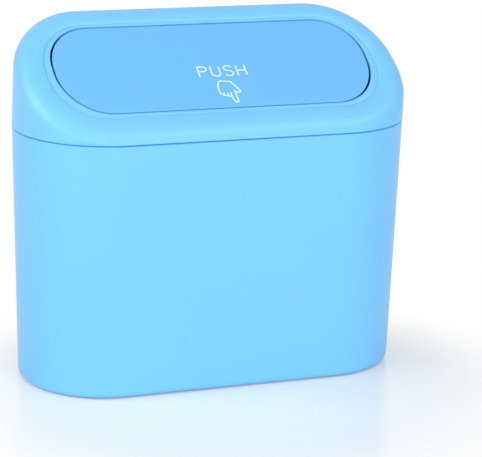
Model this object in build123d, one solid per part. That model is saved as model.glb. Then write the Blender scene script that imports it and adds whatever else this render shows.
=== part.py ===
# Car trash can with a sloping press-to-open lid.
#
# The can is a slim oval bucket. A lid frame plugs into its mouth and pinches the bag. The top of
# the frame slopes down to the front, and a flap lies flush in it. The flap turns on two steel pins
# near its back edge. A push-push latch under its front edge holds it shut, and two wound springs
# throw it open when it is pressed.
#
# Millimetres. X is the long side, -Y the front, +Z up. The origin is the middle of the base.
import math
import os

from build123d import *

# Bucket
CAN_LENGTH = 185.0          # across the ends, at the seam with the lid
CAN_DEPTH = 83.3            # front to back, at the seam
SEAM_HEIGHT = 117.2         # top edge of the bucket
WALL_DRAFT = 2.4            # how far each side leans in from the seam down to the base
BUCKET_WALL = 2.0
BUCKET_FLOOR = 2.4
BASE_ROUNDING = 3.0
SEAM_BEVEL = 0.35           # small bevel each side of the seam, which shows as a fine groove
END_FULLNESS = 0.985        # corner radius as a share of half the depth, at the seam
RIM_FULLNESS = 0.94         # the same at the rolled rim

# Lid frame
LID_TILT = 33.0             # slope of the flap, down to the front, in degrees
FRAME_HEIGHT = 47.0         # from the seam up to the highest point of the rolled rim
LID_DROP = 18.25            # from there down to the flap's surface at y = 0
FRAME_WALL = 1.8
RIM_BACK_RADIUS = 7.2       # outer roll of the rim at the back
RIM_BACK_INSET = 2.6        # how far the back wall leans in from the seam to the roll
RIM_END_RADIUS = 9.6        # roll of the rim at the two ends
RIM_END_INSET = 0.85        # how far the end walls lean in from the seam to the roll
RIM_END_TURN = 120.0        # how far the rim turns at the ends, from the wall to the ledge
FRONT_BULGE = 25.0          # half the angle that the front face of the frame curves through
FRONT_FIRST_STEP = 0.06     # share of the front curve that lies below the first rim section
RIM_STEPS = 10              # sections from the top of the wall to the ledge
LEDGE_FRONT = 2.3           # flat ledge round the flap's gap, in plan
LEDGE_BACK = 2.0
PLUG_DEPTH = 7.0            # skirt that plugs into the bucket
PLUG_WALL = 1.2
PLUG_CLEARANCE = 0.4
PLUG_FLANGE = 1.5           # thickness of the flange that joins the skirt to the frame's wall
LIP_WALL = 1.4              # stiffening lip under the edge of the flap opening
LIP_DEPTH = 4.6             # below the frame's top plate

# Flap
FLAP_END_MARGIN = 17.7      # from the can's end to the flap's end
FLAP_DEPTH = 45.5           # in plan
FLAP_CENTRE = -3.55         # in plan, towards the front
FLAP_FRONT_CORNER = 22.4    # corner radii in plan
FLAP_BACK_CORNER = 19.9
FLAP_THICKNESS = 1.8
FLAP_EDGE_ROUNDING = 0.6
FLAP_GAP = 0.65             # front and back, in plan
FLAP_END_GAP = 0.95         # at the two ends
FLAP_RIB = 1.2
FLAP_RIB_DEPTH = 2.2        # below the flap's plate
FLAP_RIB_INSET = 3.6
FLAP_PRESS_ANGLE = 3.0      # degrees that the flap goes in when it is pressed
FLAP_CROSS_RIB = 15.0       # from the middle to each of the two cross ribs

# Hinge
HINGE_SETBACK = 22.0        # from the flap's back edge to the pins, along the slope
HINGE_DROP = 4.6            # pins below the flap's surface
PIN_RADIUS = 1.0
PIN_RUNNING_FIT = 0.05
PIN_HEAD_RADIUS = 1.8
PIN_HEAD = 1.0
PIN_OVERHANG = 0.4          # pin end past the ear
EAR_WIDTH = 4.0
EAR_RADIUS = 2.5
LUG_MARGIN = 0.25           # from the edge of the flap's opening to the lug
LUG_WIDTH = 4.0
LUG_RADIUS = 2.6
LUG_WEB = 2.4               # outer part of the lug, which reaches up to the frame
COIL_WIRE = 0.7
COIL_RADIUS = 1.75
COIL_TURNS = 4
COIL_PITCH = 0.95
COIL_LEG = 9.0
LEG_SHRINK = 0.03           # legs are this much thinner than the coil, so that the two join

# Latch
LATCH_SETBACK = 8.8         # from the flap's front edge to the latch's middle
SLIDER_WIDTH = 9.0
SLIDER_DEPTH = 6.0
SLIDER_LENGTH = 15.0
SLIDER_TRAVEL = 2.3
SLIDER_CLEARANCE = 0.3
CLAW_GAP = 3.9              # between the claws, drawn spread
CLAW_NOTCH = 7.6            # depth of the gap
CLAW_TIP_DEPTH = 5.4        # top of the slider below the flap's surface
SLIDER_ROUNDING = 0.6
HOUSING_WALL = 1.7
HOUSING_ROOM = 4.6          # left for the coil under the slider when it is pressed in
HOUSING_FLANGE = 2.0
HOUSING_FLANGE_LENGTH = 25.0
SHELF_DEPTH = 6.5           # top of the frame's latch shelf below the flap's surface
SHELF_THICKNESS = 3.0
SHELF_MARGIN = 1.0
SCREW_RADIUS = 1.0
SCREW_HEAD_RADIUS = 1.9
SCREW_HEAD = 1.3
SCREW_BITE = 2.4            # how far a screw goes into the plastic
SCREW_SPACING = 19.0
STRIKER_NECK = 1.8
STRIKER_HEAD = 3.3
STRIKER_HEAD_HEIGHT = 1.8
STRIKER_REACH = 8.2         # tip below the flap's surface
STRIKER_BREADTH = 4.0
STRIKER_STEP = 0.3          # how far the neck stands in from the foot
STRIKER_FOOT_LENGTH = 17.0
STRIKER_FOOT = 1.4
STRIKER_BOSS = 0.6          # boss that the striker's foot lies on
STRIKER_SCREW_SPACING = 13.2
STRIKER_SCREW_RADIUS = 0.8  # smaller than the latch's, so that they stay inside the flap's plate
STRIKER_SCREW_HEAD_RADIUS = 1.5
STRIKER_SCREW_HEAD = 0.9
STRIKER_SCREW_BITE = 1.6
SLOT_LENGTH_SHARE = 1.44    # a screw's cross slot, as shares of its head's radius
SLOT_WIDTH_SHARE = 0.225
LATCH_COIL_WIRE = 0.45
LATCH_COIL_RADIUS = 1.5
LATCH_COIL_TURNS = 7
LATCH_COIL_PLAY = 0.05      # left free at each end of the coil
LATCH_BORE_RADIUS = 2.0
LATCH_BORE_DEPTH = 5.0
GUIDE_WIRE = 0.4            # radius of the steel wire that runs in the slider's track
GUIDE_LENGTH = 9.0
TRACK_DEPTH = 1.4

# Rubber bumpers
BUMPER_SPACING = 90.0
BUMPER_LENGTH = 10.0
BUMPER_DEPTH = 4.0
BUMPER_HEIGHT = 1.6
BUMPER_GAP = 0.2            # left under the flap when it is pressed right in
BUMPER_SHELF = 1.5

# Cuts run this far past a face, and joined blocks sink this far in, so that no thin skin is left
PASS = 1.0
SINK = 0.1

TILT = math.radians(LID_TILT)
SLOPE = math.tan(TILT)
QUARTER_TURN = 90
rim_top_height = SEAM_HEIGHT + FRAME_HEIGHT
lid_height = rim_top_height - LID_DROP
LID = Plane(origin=(0, 0, lid_height), x_dir=(1, 0, 0), z_dir=(0, -math.sin(TILT), math.cos(TILT)))

# Places along the slope, measured from the origin of the lid plane
flap_front = (FLAP_CENTRE - FLAP_DEPTH / 2) / math.cos(TILT)
flap_back = (FLAP_CENTRE + FLAP_DEPTH / 2) / math.cos(TILT)
flap_middle = (flap_front + flap_back) / 2
hinge_v = flap_back - HINGE_SETBACK
latch_v = flap_front + LATCH_SETBACK
guide_v = latch_v + SLIDER_DEPTH / 2 - TRACK_DEPTH / 2

# Places along X at each end. The ears stand inside the rim rib, and the lugs outside the opening.
flap_length = CAN_LENGTH - 2 * FLAP_END_MARGIN
ear_outer = flap_length / 2 - FLAP_RIB_INSET - FLAP_RIB
ear_inner = ear_outer - EAR_WIDTH
lug_inner = flap_length / 2 + FLAP_END_GAP + LUG_MARGIN
lug_outer = lug_inner + LUG_WIDTH

# Depths of the latch along the lid's normal
slider_top = -CLAW_TIP_DEPTH
slider_low = slider_top - SLIDER_LENGTH
cavity_low = slider_low - SLIDER_TRAVEL - HOUSING_ROOM
housing_low = cavity_low - HOUSING_WALL
housing_top = -SHELF_DEPTH - SHELF_THICKNESS
striker_foot_top = -FLAP_THICKNESS - STRIKER_BOSS
striker_foot_low = striker_foot_top - STRIKER_FOOT

# The bumpers stop the flap where it ends its travel.
bumper_v = flap_front + FLAP_RIB_INSET + BUMPER_DEPTH / 2
press_drop = (hinge_v - bumper_v + BUMPER_DEPTH / 2) * math.sin(math.radians(FLAP_PRESS_ANGLE))
bumper_top = -FLAP_THICKNESS - FLAP_RIB_DEPTH - press_drop - BUMPER_GAP
bumper_low = bumper_top - BUMPER_HEIGHT


def outline(length, depth, front_corner, back_corner, stretch=1.0, at=0.0):
    """A flat rounded outline. Corners are given in plan and stretched along the slope."""
    hx = length / 2
    hy = depth / 2
    fr = front_corner
    br = back_corner
    fy = fr * stretch
    by = br * stretch
    low = at - hy
    high = at + hy
    edges = [
        Line((-hx + fr, low), (hx - fr, low)),
        EllipticalCenterArc((hx - fr, low + fy), fr, fy, start_angle=270, arc_size=QUARTER_TURN),
        Line((hx, low + fy), (hx, high - by)),
        EllipticalCenterArc((hx - br, high - by), br, by, start_angle=0, arc_size=QUARTER_TURN),
        Line((hx - br, high), (-hx + br, high)),
        EllipticalCenterArc((-hx + br, high - by), br, by, start_angle=90, arc_size=QUARTER_TURN),
        Line((-hx, high - by), (-hx, low + fy)),
        EllipticalCenterArc((-hx + fr, low + fy), fr, fy, start_angle=180, arc_size=QUARTER_TURN),
    ]
    return Face(Wire(edges))


def plan_outline(length, depth, height, fullness):
    """A level outline of the bucket's kind."""
    corner = depth / 2 * fullness
    return Plane.XY.offset(height) * outline(length, depth, corner, corner)


def flap_face(grow_ends, grow, at_w):
    """The flap's outline, grown, on the lid plane at a height above the flap's surface."""
    stretch = 1 / math.cos(TILT)
    face = outline(flap_length + 2 * grow_ends, (FLAP_DEPTH + 2 * grow) * stretch,
                   FLAP_FRONT_CORNER + grow, FLAP_BACK_CORNER + grow, stretch, flap_middle)
    return Plane.XY.offset(at_w) * face


def block(x0, x1, v0, v1, w0, w1):
    """A box given by its limits."""
    box = Box(x1 - x0, v1 - v0, w1 - w0)
    return Pos((x0 + x1) / 2, (v0 + v1) / 2, (w0 + w1) / 2) * box


def rod_x(x0, x1, v, w, radius):
    """A round bar along X."""
    bar = Cylinder(radius, x1 - x0)
    return Pos((x0 + x1) / 2, v, w) * Rot(0, 90, 0) * bar


def rod_w(x, v, w0, w1, radius):
    """A round bar along the lid's normal."""
    return Pos(x, v, (w0 + w1) / 2) * Cylinder(radius, w1 - w0)


def lid_surface_at(y):
    """Height of the flap's surface, carried on past the flap, at y."""
    return lid_height + y * SLOPE


def front_point(share, inset):
    """Front face of the frame, from the seam to the ledge, as one arc."""
    start = (-CAN_DEPTH / 2, SEAM_HEIGHT)
    ledge_y = FLAP_CENTRE - FLAP_DEPTH / 2 - LEDGE_FRONT
    end = (ledge_y, lid_surface_at(ledge_y))
    chord = math.dist(start, end)
    rise = math.atan2(end[1] - start[1], end[0] - start[0])
    bulge = math.radians(FRONT_BULGE)
    radius = chord / 2 / math.sin(bulge)
    centre = (start[0] + radius * math.sin(rise + bulge), start[1] - radius * math.cos(rise + bulge))
    angle = rise + bulge - 2 * bulge * share
    size = radius - inset
    return (centre[0] - size * math.sin(angle), centre[1] + size * math.cos(angle))


def back_point(share, inset):
    """Back of the rim, from the top of the wall over the roll to the ledge."""
    roll = (CAN_DEPTH / 2 - RIM_BACK_INSET - RIM_BACK_RADIUS, rim_top_height - RIM_BACK_RADIUS)
    ledge_y = FLAP_CENTRE + FLAP_DEPTH / 2 + LEDGE_BACK
    run = roll[0] - ledge_y
    drop = rim_top_height - lid_surface_at(ledge_y)
    turn = 2 * math.atan2(drop, run)
    crown = math.hypot(run, drop) / 2 / math.sin(turn / 2)
    roll_length = RIM_BACK_RADIUS * math.pi / 2
    crown_length = crown * turn
    along = share * (roll_length + crown_length)
    if along <= roll_length:
        angle = along / RIM_BACK_RADIUS
        size = RIM_BACK_RADIUS - inset
        return (roll[0] + size * math.cos(angle), roll[1] + size * math.sin(angle))
    angle = (along - roll_length) / crown
    size = crown - inset
    return (roll[0] - size * math.sin(angle), rim_top_height - crown + size * math.cos(angle))


def end_reach(share, inset):
    """How far the rim reaches along X at its ends."""
    centre = CAN_LENGTH / 2 - RIM_END_INSET - RIM_END_RADIUS
    return centre + (RIM_END_RADIUS - inset) * math.cos(math.radians(RIM_END_TURN * share))


def rim_section(share, inset):
    """One closed section of the rim, on a slope of its own."""
    front_share = FRONT_FIRST_STEP + (1 - FRONT_FIRST_STEP) * share
    front = front_point(front_share, inset)
    back = back_point(share, inset)
    tilt = math.atan2(back[1] - front[1], back[0] - front[0])
    half_plan = (back[0] - front[0]) / 2
    middle = ((front[0] + back[0]) / 2, (front[1] + back[1]) / 2)
    stretch = 1 / math.cos(tilt)
    corner = half_plan * RIM_FULLNESS
    face = outline(2 * end_reach(share, inset), 2 * half_plan * stretch, corner, corner, stretch)
    plane = Plane(origin=(0, middle[0], middle[1]), x_dir=(1, 0, 0),
                  z_dir=(0, -math.sin(tilt), math.cos(tilt)))
    return plane * face


def frame_skin(inset):
    """The frame's outer form, closed top and bottom, taken in by a wall's thickness."""
    if inset > 0:
        # the hollow starts below the frame, so that it is open there
        length = CAN_LENGTH - 2 * inset
        depth = CAN_DEPTH - 2 * inset
        sections = [plan_outline(length, depth, SEAM_HEIGHT - 2 * inset, END_FULLNESS)]
    else:
        sections = [
            plan_outline(CAN_LENGTH - 2 * SEAM_BEVEL, CAN_DEPTH - 2 * SEAM_BEVEL, SEAM_HEIGHT,
                         END_FULLNESS),
            plan_outline(CAN_LENGTH, CAN_DEPTH, SEAM_HEIGHT + SEAM_BEVEL, END_FULLNESS),
        ]
    for step in range(RIM_STEPS + 1):
        sections.append(rim_section(step / RIM_STEPS, inset))
    return loft(sections, ruled=True)


def make_bucket():
    top = plan_outline(CAN_LENGTH - 2 * SEAM_BEVEL, CAN_DEPTH - 2 * SEAM_BEVEL, SEAM_HEIGHT,
                       END_FULLNESS)
    edge = plan_outline(CAN_LENGTH, CAN_DEPTH, SEAM_HEIGHT - SEAM_BEVEL, END_FULLNESS)
    base = plan_outline(CAN_LENGTH - 2 * WALL_DRAFT, CAN_DEPTH - 2 * WALL_DRAFT, 0, END_FULLNESS)
    outer = loft([base, edge, top], ruled=True)
    outer = fillet(outer.faces().sort_by(Axis.Z)[0].edges(), BASE_ROUNDING)
    lean = WALL_DRAFT * (1 - BUCKET_FLOOR / SEAM_HEIGHT)
    low = plan_outline(CAN_LENGTH - 2 * (lean + BUCKET_WALL), CAN_DEPTH - 2 * (lean + BUCKET_WALL),
                       BUCKET_FLOOR, END_FULLNESS)
    high = plan_outline(CAN_LENGTH - 2 * BUCKET_WALL, CAN_DEPTH - 2 * BUCKET_WALL,
                        SEAM_HEIGHT, END_FULLNESS)
    return outer - loft([low, high], ruled=True)


def ring(outer_length, outer_depth, wall, z0, z1):
    """A level ring with the bucket's outline."""
    inside = plan_outline(outer_length - 2 * wall, outer_depth - 2 * wall, z0, END_FULLNESS)
    outside = plan_outline(outer_length, outer_depth, z0, END_FULLNESS)
    return extrude(outside, z1 - z0, dir=(0, 0, 1)) - extrude(inside, z1 - z0, dir=(0, 0, 1))


def make_frame():
    skin = frame_skin(0.0)
    reach = CAN_LENGTH
    under_plate = LID * block(-reach, reach, -reach, reach, -2 * reach, -FRAME_WALL)
    hollow = frame_skin(FRAME_WALL) & under_plate
    frame = skin - hollow

    # flange and plug skirt at the seam
    gap = BUCKET_WALL + PLUG_CLEARANCE
    plug_length = CAN_LENGTH - 2 * gap
    plug_depth = CAN_DEPTH - 2 * gap
    flange_wall = gap + PLUG_WALL - SEAM_BEVEL
    frame += ring(CAN_LENGTH - 2 * SEAM_BEVEL, CAN_DEPTH - 2 * SEAM_BEVEL, flange_wall,
                  SEAM_HEIGHT, SEAM_HEIGHT + PLUG_FLANGE) & skin
    frame += ring(plug_length, plug_depth, PLUG_WALL, SEAM_HEIGHT - PLUG_DEPTH,
                  SEAM_HEIGHT + PLUG_FLANGE / 2)

    # opening for the flap, with a stiffening lip along its front half
    cut_depth = FRAME_WALL + LIP_DEPTH + PLUG_FLANGE
    opening = extrude(flap_face(FLAP_END_GAP, FLAP_GAP, -cut_depth), 2 * cut_depth, dir=(0, 0, 1))
    lip_grow = LIP_WALL * math.cos(TILT)
    lip_face = flap_face(FLAP_END_GAP + LIP_WALL, FLAP_GAP + lip_grow, -FRAME_WALL - LIP_DEPTH)
    lip = extrude(lip_face, LIP_DEPTH + FRAME_WALL / 2, dir=(0, 0, 1))
    lip &= block(-reach, reach, flap_front - reach, flap_middle, -reach, 0)

    # shelf for the latch and shelves for the bumpers, joined to the lip
    lip_v = flap_front - FLAP_GAP / math.cos(TILT)
    shelf_back = latch_v + SLIDER_DEPTH / 2 + HOUSING_WALL + SHELF_MARGIN
    shelf = block(-HOUSING_FLANGE_LENGTH / 2, HOUSING_FLANGE_LENGTH / 2, lip_v - LIP_WALL,
                  shelf_back, -SHELF_DEPTH - SHELF_THICKNESS, -SHELF_DEPTH)
    web_low = -SHELF_DEPTH - SHELF_THICKNESS
    web = block(-HOUSING_FLANGE_LENGTH / 2, HOUSING_FLANGE_LENGTH / 2, lip_v - LIP_WALL, lip_v,
                web_low, -FRAME_WALL / 2)
    slot_x = SLIDER_WIDTH / 2 + SLIDER_CLEARANCE
    slot_v = SLIDER_DEPTH / 2 + SLIDER_CLEARANCE
    slot = block(-slot_x, slot_x, latch_v - slot_v, latch_v + slot_v, -reach, 0)
    added = (lip - opening) + shelf + web - slot
    for side in (-1, 1):
        added -= rod_w(side * SCREW_SPACING / 2, latch_v, web_low - PASS, web_low + SCREW_BITE,
                       SCREW_RADIUS)
        centre = side * BUMPER_SPACING / 2
        x0 = centre - BUMPER_LENGTH / 2
        x1 = centre + BUMPER_LENGTH / 2
        added += block(x0, x1, lip_v - LIP_WALL, bumper_v + BUMPER_DEPTH / 2,
                       bumper_low - BUMPER_SHELF, bumper_low)
        added += block(x0, x1, lip_v - LIP_WALL, lip_v, bumper_low - BUMPER_SHELF, -FRAME_WALL / 2)
        # hinge lug: a round boss with a web up to the top plate
        lug_a, lug_b = sorted((side * lug_inner, side * lug_outer))
        web_a, web_b = sorted((side * (lug_outer - LUG_WEB), side * lug_outer))
        added += rod_x(lug_a, lug_b, hinge_v, -HINGE_DROP, LUG_RADIUS)
        added += block(web_a, web_b, hinge_v - LUG_RADIUS, hinge_v + LUG_RADIUS, -HINGE_DROP,
                       -FRAME_WALL / 2)
        added -= rod_x(lug_a - PASS, lug_b + PASS, hinge_v, -HINGE_DROP, PIN_RADIUS)
    return frame - LID * opening + LID * added


def make_flap():
    plate = extrude(flap_face(0, 0, -FLAP_THICKNESS), FLAP_THICKNESS, dir=(0, 0, 1))
    plate = fillet(plate.faces().sort_by(Axis.Z)[-1].edges(), FLAP_EDGE_ROUNDING)
    depth = FLAP_THICKNESS + FLAP_RIB_DEPTH
    shrink = FLAP_RIB_INSET
    outer = extrude(flap_face(-shrink, -shrink, -depth), depth - FLAP_THICKNESS / 2, dir=(0, 0, 1))
    shrink += FLAP_RIB
    inner = extrude(flap_face(-shrink, -shrink, -depth - PASS), depth + PASS, dir=(0, 0, 1))
    flap = plate + (outer - inner)
    for side in (-1, 1):
        # room for the spring between the ear and the lug
        room_a, room_b = sorted((side * ear_outer, side * lug_inner))
        flap -= block(room_a, room_b, hinge_v - COIL_LEG - PASS,
                      hinge_v + COIL_RADIUS + 2 * COIL_WIRE, -depth - PASS, -FLAP_THICKNESS)
        a, b = sorted((side * ear_inner, side * ear_outer))
        flap += rod_x(a, b, hinge_v, -HINGE_DROP, EAR_RADIUS)
        flap += block(a, b, hinge_v - EAR_RADIUS, hinge_v + EAR_RADIUS, -HINGE_DROP,
                      -FLAP_THICKNESS / 2)
        rib_x = side * FLAP_CROSS_RIB
        flap += block(rib_x - FLAP_RIB / 2, rib_x + FLAP_RIB / 2, flap_front + shrink / 2 + FLAP_RIB,
                      flap_back - shrink, -depth, -FLAP_THICKNESS / 2)
        flap -= rod_x(a - PASS, b + PASS, hinge_v, -HINGE_DROP, PIN_RADIUS + PIN_RUNNING_FIT)
    # boss for the striker, with its two screw holes
    flap += block(-STRIKER_FOOT_LENGTH / 2, STRIKER_FOOT_LENGTH / 2, latch_v - STRIKER_BREADTH / 2,
                  latch_v + STRIKER_BREADTH / 2, striker_foot_top, -FLAP_THICKNESS / 2)
    for side in (-1, 1):
        flap -= rod_w(side * STRIKER_SCREW_SPACING / 2, latch_v, striker_foot_top - PASS,
                      striker_foot_top + STRIKER_SCREW_BITE, STRIKER_SCREW_RADIUS)
    return LID * flap


def make_bumpers():
    pads = []
    for side in (-1, 1):
        centre = side * BUMPER_SPACING / 2
        pad = block(centre - BUMPER_LENGTH / 2, centre + BUMPER_LENGTH / 2,
                    bumper_v - BUMPER_DEPTH / 2, bumper_v + BUMPER_DEPTH / 2, bumper_low, bumper_top)
        pads.append(LID * fillet(pad.edges().group_by(Axis.Z)[-1], BUMPER_HEIGHT / 3))
    return Compound(children=pads)


def make_pin(side):
    shank_a, shank_b = sorted((side * (ear_inner - PIN_OVERHANG), side * lug_outer))
    head_a, head_b = sorted((side * lug_outer, side * (lug_outer + PIN_HEAD)))
    pin = rod_x(shank_a, shank_b, hinge_v, -HINGE_DROP, PIN_RADIUS)
    pin += rod_x(head_a, head_b, hinge_v, -HINGE_DROP, PIN_HEAD_RADIUS)
    return LID * pin


def make_hinge_spring(side):
    """A wound spring round the pin, with one leg under the flap and one against the lug."""
    start = lug_inner - COIL_WIRE / 2 - PIN_RUNNING_FIT
    helix = Helix(COIL_PITCH, COIL_PITCH * COIL_TURNS, COIL_RADIUS)
    spring = sweep(Plane(origin=helix @ 0, z_dir=helix % 0) * Circle(COIL_WIRE / 2), path=helix)
    for end, way, length in ((helix @ 0, -1, COIL_LEG / 2), (helix @ 1, 1, COIL_LEG)):
        leg = Cylinder(COIL_WIRE / 2 - LEG_SHRINK, length + COIL_WIRE)
        middle = end + Vector(0, way * (length - COIL_WIRE) / 2, 0)
        spring += Pos(*middle) * Rot(QUARTER_TURN, 0, 0) * leg
    # made about +Z, then laid along X with its long leg under the flap
    laid = Pos(start, hinge_v, -HINGE_DROP) * Rot(0, -QUARTER_TURN, 0) * mirror(spring, about=Plane.XZ)
    if side < 0:
        laid = mirror(laid, about=Plane.YZ)
    return LID * laid


def make_housing():
    half_x = SLIDER_WIDTH / 2 + SLIDER_CLEARANCE
    half_v = SLIDER_DEPTH / 2 + SLIDER_CLEARANCE
    body = block(-half_x - HOUSING_WALL, half_x + HOUSING_WALL, latch_v - half_v - HOUSING_WALL,
                 latch_v + half_v + HOUSING_WALL, housing_low, housing_top)
    flange = block(-HOUSING_FLANGE_LENGTH / 2, HOUSING_FLANGE_LENGTH / 2,
                   latch_v - half_v - HOUSING_WALL, latch_v + half_v + HOUSING_WALL,
                   housing_top - HOUSING_FLANGE, housing_top)
    flange = fillet(flange.edges().filter_by(Axis.Z), HOUSING_WALL)
    housing = body + flange - block(-half_x, half_x, latch_v - half_v, latch_v + half_v,
                                    cavity_low, housing_top + PASS)
    for side in (-1, 1):
        housing -= rod_w(side * SCREW_SPACING / 2, latch_v, housing_top - HOUSING_FLANGE - PASS,
                         housing_top + PASS, SCREW_RADIUS + PIN_RUNNING_FIT)
    # hole for the foot of the guide wire
    housing -= rod_w(0, guide_v, housing_low - PASS, cavity_low + PASS, GUIDE_WIRE + PIN_RUNNING_FIT)
    return LID * housing


def make_slider():
    slider = block(-SLIDER_WIDTH / 2, SLIDER_WIDTH / 2, latch_v - SLIDER_DEPTH / 2,
                   latch_v + SLIDER_DEPTH / 2, slider_low, slider_top)
    slider = fillet(slider.edges().filter_by(Axis.Z), SLIDER_ROUNDING)
    slider -= block(-CLAW_GAP / 2, CLAW_GAP / 2, latch_v - SLIDER_DEPTH, latch_v + SLIDER_DEPTH,
                    slider_top - CLAW_NOTCH, slider_top + PASS)
    slider -= rod_w(0, latch_v - TRACK_DEPTH / 2, slider_low - PASS, slider_low + LATCH_BORE_DEPTH,
                    LATCH_BORE_RADIUS)
    # track for the guide wire, down the back face
    slider -= block(-TRACK_DEPTH, TRACK_DEPTH, guide_v - TRACK_DEPTH / 2,
                    guide_v + TRACK_DEPTH, slider_low - PASS, slider_top - CLAW_NOTCH - PASS)
    return LID * slider


def make_latch_spring():
    room = slider_low + LATCH_BORE_DEPTH - cavity_low - LATCH_COIL_WIRE - 2 * LATCH_COIL_PLAY
    helix = Helix(room / LATCH_COIL_TURNS, room, LATCH_COIL_RADIUS)
    coil = sweep(Plane(origin=helix @ 0, z_dir=helix % 0) * Circle(LATCH_COIL_WIRE / 2), path=helix)
    lift = cavity_low + LATCH_COIL_WIRE / 2 + LATCH_COIL_PLAY
    return LID * (Pos(0, latch_v - TRACK_DEPTH / 2, lift) * coil)


def make_guide_wire():
    foot = rod_w(0, guide_v, housing_low, housing_low + GUIDE_LENGTH + HOUSING_WALL, GUIDE_WIRE)
    return LID * foot


def make_striker():
    half = STRIKER_BREADTH / 2
    foot = block(-STRIKER_FOOT_LENGTH / 2, STRIKER_FOOT_LENGTH / 2, latch_v - half, latch_v + half,
                 striker_foot_low, striker_foot_top)
    foot = fillet(foot.edges().filter_by(Axis.Z), half / 2)
    half -= STRIKER_STEP
    neck = block(-STRIKER_NECK / 2, STRIKER_NECK / 2, latch_v - half, latch_v + half,
                 -STRIKER_REACH, striker_foot_low + SINK)
    head = block(-STRIKER_HEAD / 2, STRIKER_HEAD / 2, latch_v - half, latch_v + half,
                 -STRIKER_REACH, -STRIKER_REACH + STRIKER_HEAD_HEIGHT)
    head = chamfer(head.edges().filter_by(Axis.Y), STRIKER_HEAD_HEIGHT / 3)
    striker = foot + neck + head
    for side in (-1, 1):
        striker -= rod_w(side * STRIKER_SCREW_SPACING / 2, latch_v, striker_foot_low - PASS,
                         striker_foot_top + PASS, STRIKER_SCREW_RADIUS)
    return LID * striker


def screw(x, head_w, shank, radius, head_radius, head_height):
    """A pan-head screw that points up into the plastic, with a cross slot in its head."""
    body = rod_w(x, latch_v, head_w - head_height, head_w, head_radius)
    body = fillet(body.edges().group_by(Axis.Z)[0], head_height / 3)
    body += rod_w(x, latch_v, head_w, head_w + shank, radius)
    for turn in (0, QUARTER_TURN):
        cut = Box(head_radius * SLOT_LENGTH_SHARE, head_radius * SLOT_WIDTH_SHARE, head_height)
        body -= Pos(x, latch_v, head_w - head_height) * Rot(0, 0, turn) * cut
    return LID * body


def make_latch_screws():
    head_w = housing_top - HOUSING_FLANGE
    shank = HOUSING_FLANGE + SCREW_BITE
    places = (-SCREW_SPACING / 2, SCREW_SPACING / 2)
    return Compound(children=[screw(x, head_w, shank, SCREW_RADIUS, SCREW_HEAD_RADIUS, SCREW_HEAD)
                              for x in places])


def make_striker_screws():
    shank = STRIKER_FOOT + STRIKER_SCREW_BITE
    places = (-STRIKER_SCREW_SPACING / 2, STRIKER_SCREW_SPACING / 2)
    return Compound(children=[screw(x, striker_foot_low, shank, STRIKER_SCREW_RADIUS,
                                    STRIKER_SCREW_HEAD_RADIUS, STRIKER_SCREW_HEAD) for x in places])


parts = {
    "bucket": make_bucket(),
    "lid_frame": make_frame(),
    "flap_panel": make_flap(),
    "flap_bumpers": make_bumpers(),
    "hinge_pin_left": make_pin(-1),
    "hinge_pin_right": make_pin(1),
    "hinge_spring_left": make_hinge_spring(-1),
    "hinge_spring_right": make_hinge_spring(1),
    "latch_housing": make_housing(),
    "latch_slider": make_slider(),
    "latch_spring": make_latch_spring(),
    "latch_guide_wire": make_guide_wire(),
    "latch_screws": make_latch_screws(),
    "latch_striker": make_striker(),
    "striker_screws": make_striker_screws(),
}

os.makedirs("parts", exist_ok=True)
for name, shape in parts.items():
    shape.label = name
    export_step(shape, "parts/" + name + ".step")
    print(name, len(shape.solids()), "solids", round(shape.volume), "mm3", shape.is_valid)
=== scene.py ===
# %% [markdown]
# # A car trash can with a press-to-open lid
# The object is moulded in one blue polypropylene: a slim oval bucket, a lid frame with a rolled rim
# that slopes down to the front, and a flap that lies flush in it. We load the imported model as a
# fixed frame and dress it. Lengths below are millimetres, because that is how the maker thinks of
# them, and `MM` turns them into metres.

# %% Load the frame
import math

import bmesh
import bpy
from mathutils import Matrix, Vector


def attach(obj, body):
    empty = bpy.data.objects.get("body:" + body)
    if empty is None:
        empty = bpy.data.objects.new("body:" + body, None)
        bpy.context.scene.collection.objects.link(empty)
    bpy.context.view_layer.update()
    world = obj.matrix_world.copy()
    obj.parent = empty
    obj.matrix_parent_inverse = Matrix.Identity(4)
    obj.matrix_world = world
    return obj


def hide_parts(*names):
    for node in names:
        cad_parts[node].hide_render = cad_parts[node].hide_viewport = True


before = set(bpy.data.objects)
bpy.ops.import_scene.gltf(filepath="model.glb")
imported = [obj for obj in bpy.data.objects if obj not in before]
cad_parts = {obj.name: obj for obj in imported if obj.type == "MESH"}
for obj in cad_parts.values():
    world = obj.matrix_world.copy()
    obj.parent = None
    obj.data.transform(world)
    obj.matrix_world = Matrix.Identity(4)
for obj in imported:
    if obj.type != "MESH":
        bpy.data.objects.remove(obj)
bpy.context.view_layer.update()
MM = 0.001

# %% [markdown]
# ## Driving sizes
# The same sizes that the construction uses. The lid's plane is tilted about X. `v` runs up the
# slope and `w` runs out of the flap's surface. `SINK` is how far a fitting is let into the piece
# that carries it.

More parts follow.
